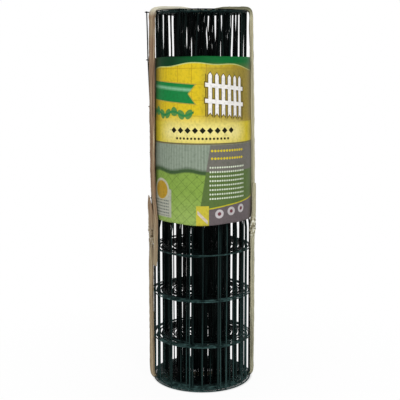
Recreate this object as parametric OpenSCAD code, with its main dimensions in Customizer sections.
// Roll of coated welded wire fencing. It stands on its end with its axis on Z,
// and its printed label faces -Y. Two kraft paper straps, knotted together at
// both sides, hold the turns. All sizes are in millimetres.

/* [Fence] */
// Width of the fence, which is the height of the standing roll
roll_h = 609.6; // [420:0.1:1000]
// Length of fence in the roll
fence_l = 7620; // [5000:10:9000]
// Thickness of one wire over its plastic coat
wire_d = 2; // [1.4:0.1:2.4]
// Spacing of the line wires, which run round the roll as rings
line_gap = 76.2; // [40:0.1:110]

/* [Turns] */
// Outer radius over the line wires, under the label
roll_r = 80; // [74:0.5:95]
// How far the turns have spread at the foot
foot_spread = 2; // [0.5:0.5:4]
// How far they are still spread just below the label
belly_spread = 1.4; // [0:0.1:3]
// How far the turns are drawn in at the head
head_draw = 6; // [0:0.5:9]
// Height at which the turns start to draw in
draw_z = 360; // [320:1:420]
// Radius of the bore
bore_r = 20; // [15:0.5:30]
// Depth of the grooves between the turns, on both ends
groove_depth = 1.4; // [0.6:0.1:2.5]
// Width of the grooves between the turns, on both ends
groove_w = 0.8; // [0.4:0.1:1.2]

/* [Free end] */
// How far the last upright stands off the outer radius, at the head
end_head_gap = 10; // [7:0.5:16]
// How far the last upright stands off the outer radius, at the foot
end_foot_gap = 5; // [4:0.5:12]
// Angle behind the left strap at which the last upright stands
end_angle = 8; // [7:0.5:14]
// Angle over which its line wires run back to the roll
end_run_angle = 26; // [18:1:40]

/* [Label] */
// Height of the printed sheet
label_h = 261; // [120:1:270]
// Height of its lower edge above the floor
label_z = 276; // [200:1:276]
// Angle that the sheet covers, to under both straps
label_wrap = 196; // [186:1:230]
// Thickness of the sheet
label_t = 0.4; // [0.2:0.1:1]
// How far its upper edge stands off the drawn turns
label_flare = 2.3; // [2:0.1:4]

/* [Straps] */
// Width of the folded paper straps
strap_w = 14; // [8:0.5:22]
// Thickness of the upper strap
upper_t = 5.2; // [3:0.1:9]
// Thickness of the lower strap
lower_t = 6; // [4:0.5:9]
// Thickness of the lower strap where it is pressed flat under the roll
flat_t = 2.5; // [1.5:0.1:4]
// Clearance of the straps from what they hold
strap_fit = 0.3; // [0.1:0.1:0.8]
// How high the upper strap arches over the rim of the head
head_rise = 0.8; // [0.5:0.1:3]
// Radius of the bend at the head, to the inside of the strap
head_bend_r = 7; // [4:0.5:7]
// Radius of the bend at the foot, to the outside of the strap
foot_bend_r = 16; // [12:0.5:20]
// Depth to which the upper strap sags into the bore
sag = 5; // [2:0.5:12]
// Angle by which the straps' left legs stand towards the label
left_swing = 10; // [0:0.5:16]

/* [Knots] */
// Height of the left knot
left_knot_z = 245; // [210:1:290]
// Height of the right knot
right_knot_z = 264; // [210:1:290]
// Height of one knot
knot_h = 28; // [18:1:40]
// Width of one knot across the strap
knot_w = 19; // [17:0.5:26]
// Thickness of one knot
knot_t = 8; // [7:0.5:14]
// Length of the loose tails above the knots
tail_up_l = 60; // [30:1:90]
// Depth to which the upper strap's tail hangs below the left knot
tail_down_l = 36; // [20:1:70]
// Width of the loose tails
tail_w = 9; // [5:0.5:13]
// Thickness of the loose tails
tail_t = 2.4; // [1.2:0.1:4]

/* [Hidden] */
$fn = 96;
bite = 0.6;
end_set = 0.3;
section_sides = 12;
bend_steps = 6;
sag_steps = 10;

foot_r = roll_r + foot_spread;
head_r = roll_r - head_draw;
label_top = label_z + label_h;

// Each turn is one layer of the spiral, and its pitch follows from the length
turn_gap = PI * (pow(roll_r, 2) - pow(bore_r, 2)) / fence_l;
turns = floor((roll_r - bore_r) / turn_gap);
line_count = round(roll_h / line_gap) + 1;
line_step = (roll_h - wire_d) / (line_count - 1);

// The body stands for the layers of wire inside the outer line wires
body_depth = 1.4 * wire_d;

// The straps lie on these radii over the label, at the head, at the foot and
// where they are knotted
seat_r = roll_r + label_t + strap_fit;
head_seat_r = head_r + label_flare + label_t + strap_fit;
foot_seat_r = foot_r + strap_fit;
knot_seat_r = roll_r + belly_spread + strap_fit;
strap_top_z = roll_h + strap_fit + head_rise + upper_t;

// Outer radius over the line wires at height z: spread below the label, and
// drawn in towards the label's upper edge
function outer_r(z) =
    z < label_z ? foot_r + (belly_spread - foot_spread) * z / label_z :
    z < draw_z ? roll_r :
    roll_r - head_draw * min((z - draw_z) / (label_top - draw_z), 1);

function line_z(i) = wire_d / 2 + i * line_step;

// Points of the grooves on one end, from the outside in
function end_grooves(rim_r, z, inward) =
    let (gap = (rim_r - bore_r) / turns)
    [for (i = [turns - 1:-1:1], p = [[0.5, 0], [0, 1], [-0.5, 0]])
        [bore_r + i * gap + p[0] * groove_w, z + inward * p[1] * groove_depth]];

// Outline of one line wire of the outer turn, from its top to its underside
function line_points(z) =
    let (r = outer_r(z))
    [[r - body_depth, z + wire_d / 2],
     for (a = [90:-30:-90]) [r - wire_d / 2 * (1 - cos(a)), z + wire_d / 2 * sin(a)],
     [r - body_depth, z - wire_d / 2]];

module half_section() {
    foot_points = end_grooves(foot_r - body_depth, 0, 1);
    head_points = end_grooves(head_r - body_depth, roll_h, -1);
    polygon(concat(
        [for (i = [line_count - 1:-1:0]) each line_points(line_z(i))],
        foot_points,
        [[bore_r, 0], [bore_r, roll_h]],
        [for (i = [len(head_points) - 1:-1:0]) head_points[i]]));
}

// One straight round wire between two points
module wire(from, to) {
    run = to - from;
    length = norm(run);
    translate(from)
        rotate([0, acos(run[2] / length), atan2(run[1], run[0])])
            cylinder(d = wire_d, h = length, $fn = 24);
}

function at_angle(r, angle, z) = [-r * cos(angle), r * sin(angle), z];

// The end of the fence: its last upright, and the line wires that run back.
// They are welded to the outside of the upright, half a wire apart.
module free_end() {
    top = at_angle(roll_r + end_head_gap, end_angle, roll_h - wire_d / 2 - end_set);
    foot = at_angle(roll_r + end_foot_gap, end_angle, wire_d / 2 + end_set);
    outward = at_angle(0.7 * wire_d, end_angle, 0);
    wire(foot, top);
    for (i = [0:line_count - 1]) {
        z = min(line_z(i) + end_set, top[2]);
        start = foot + (z - foot[2]) / (top[2] - foot[2]) * (top - foot);
        wire(start + outward,
            at_angle(outer_r(z) - wire_d, end_angle + end_run_angle, z));
    }
}

// Seat of the lower strap in the foot of the roll, with rounded corners. Each
// half runs out from the bore, the left one towards the label.
module strap_seat() {
    seat_w = strap_w + 2 * strap_fit;
    edge_x = foot_seat_r + lower_t - foot_bend_r;
    inner_r = foot_bend_r - lower_t - strap_fit;
    for (turn = [0, 180 + left_swing])
        rotate([0, 0, turn]) {
            translate([0, -seat_w / 2, -bite])
                cube([edge_x, seat_w, flat_t + strap_fit + bite]);
            translate([edge_x, seat_w / 2, foot_bend_r])
                rotate([90, 0, 0])
                    linear_extrude(seat_w)
                        difference() {
                            translate([0, -foot_bend_r - bite])
                                square([foot_bend_r, foot_bend_r + bite]);
                            circle(r = inner_r, $fn = 48);
                        }
        }
}

module mesh_roll() {
    color("#12201c")
    difference() {
        union() {
            rotate_extrude()
                half_section();
            free_end();
        }
        strap_seat();
    }
}

// The sheet lies on the line wires and follows them in, up to its free edge
module label() {
    inner = [
        [roll_r + strap_fit / 2, label_z],
        [roll_r + strap_fit / 2, draw_z],
        [head_r + label_flare + strap_fit / 2, label_top]];
    sheet = [label_t - strap_fit / 2, 0];
    color("#d8c02a")
    rotate([0, 0, -90 - label_wrap / 2])
        rotate_extrude(angle = label_wrap)
            polygon([
                inner[0], inner[0] + sheet, inner[1] + sheet, inner[2] + sheet,
                inner[2], inner[1]]);
}

// A strap is a band swept along stations of [x, y, z, thickness, width]. To the
// left of the bore the path swings towards the label, about the roll's axis.
function swing(s) = left_swing * max(0, min(-s[0] / bore_r, 1));

function point(s) =
    let (a = swing(s))
    [s[0] * cos(a) - s[1] * sin(a), s[0] * sin(a) + s[1] * cos(a), s[2]];

function way(path, i) =
    let (run = point(path[min(i + 1, len(path) - 1)]) - point(path[max(i - 1, 0)]))
    run / norm(run);

function section_ring(path, i) =
    let (
        s = path[i],
        t = way(path, i),
        side = cross(cross(t, [-sin(swing(s)), cos(swing(s)), 0]), t),
        w = side / norm(side),
        n = cross(w, t))
    [for (k = [0:section_sides - 1])
        let (a = 360 * (k + 0.5) / section_sides, c = cos(a), d = sin(a))
        point(s) + n * s[3] / 2 * sign(c) * pow(abs(c), 0.6)
            + w * s[4] / 2 * sign(d) * pow(abs(d), 0.6)];

module sweep(path) {
    n = section_sides;
    last = (len(path) - 1) * n;
    polyhedron(
        points = [for (i = [0:len(path) - 1]) each section_ring(path, i)],
        faces = concat(
            [[for (k = [0:n - 1]) k]],
            [for (i = [0:len(path) - 2], k = [0:n - 1], half = [0, 1])
                let (a = i * n + k, b = i * n + (k + 1) % n)
                half == 0 ? [a, a + n, b] : [b, a + n, b + n]],
            [[for (k = [n - 1:-1:0]) last + k]]));
}

// Stations on a bend whose outside has radius r, turned about its centre
function bend(x, z, r, from, to, t0, t1) =
    [for (i = [0:bend_steps])
        let (
            share = i / bend_steps,
            a = from + share * (to - from),
            t = t0 + share * (t1 - t0),
            m = r - t / 2)
        [x + m * cos(a), 0, z + m * sin(a), t, strap_w]];

function mirrored(path) =
    [for (i = [len(path) - 1:-1:0])
        [-path[i][0], path[i][1], path[i][2], path[i][3], path[i][4]]];

// Right half of the upper strap over the head, from the leg to the bore's middle
head_x = head_seat_r - head_bend_r;
head_out_r = head_bend_r + upper_t;
head_half = concat(
    [[seat_r + upper_t / 2, 0, draw_z, upper_t, strap_w],
     [head_seat_r + upper_t / 2, 0, label_top, upper_t, strap_w]],
    bend(head_x, strap_top_z - head_out_r, head_out_r, 0, 90, upper_t, upper_t),
    [for (i = [0:sag_steps / 2])
        let (x = bore_r * (1 - 2 * i / sag_steps))
        [x, 0, strap_top_z - upper_t / 2 - sag * (1 + cos(180 * x / bore_r)) / 2,
         upper_t, strap_w]]);
head_path = concat(head_half,
    [for (i = [1:len(head_half) - 1]) mirrored(head_half)[i]]);

// The upper strap's left end passes in front of the knot and hangs as a tail
veer_y = -(knot_w + strap_w) / 2 - strap_fit;
veer_x = sqrt(pow(seat_r, 2) - pow(abs(veer_y) - strap_w / 2, 2)) + upper_t / 2;
left_end = [
    [-seat_r - upper_t / 2, 0, left_knot_z + knot_h / 2 + 1.6 * knot_w, upper_t, strap_w],
    [-veer_x, veer_y, left_knot_z + knot_h / 2, upper_t, 0.8 * strap_w],
    [-veer_x, veer_y, left_knot_z - knot_h / 2, tail_t, tail_w],
    [-veer_x, veer_y, left_knot_z - knot_h / 2 - tail_down_l, tail_t, 0.3 * tail_w]];

right_end = [
    [seat_r + upper_t / 2, 0, right_knot_z + knot_h / 2 + tail_t, upper_t, strap_w]];

// Right half of the lower strap, from the tip of its tail to under the roll
function lower_half(knot_z) = concat(
    [for (s = [[tail_up_l, tail_t, 0.25], [tail_up_l - tail_w, tail_t, 1], [0, tail_t, 1]])
        [seat_r + upper_t + strap_fit + s[1] / 2, 0, knot_z + knot_h / 2 + s[0], s[1],
         s[2] * tail_w]],
    [for (s = [[0.42, 0.75], [0.2, 1], [-0.2, 1], [-0.42, 0.8]])
        [knot_seat_r + s[1] * knot_t / 2, 0, knot_z + s[0] * knot_h, s[1] * knot_t,
         s[1] * knot_w]],
    [[knot_seat_r + lower_t / 2, 0, knot_z - 0.75 * knot_h, lower_t, strap_w]],
    bend(foot_seat_r + lower_t - foot_bend_r, foot_bend_r, foot_bend_r, 0, -90,
        lower_t, flat_t));

module strap_upper() {
    color("#a89c7c")
    sweep(concat(right_end, head_path, left_end));
}

module strap_lower() {
    color("#a89c7c")
    sweep(concat(
        lower_half(right_knot_z),
        [for (x = [0, -bore_r / 2, -bore_r]) [x, 0, flat_t / 2, flat_t, strap_w]],
        mirrored(lower_half(left_knot_z))));
}

mesh_roll();
label();
strap_upper();
strap_lower();
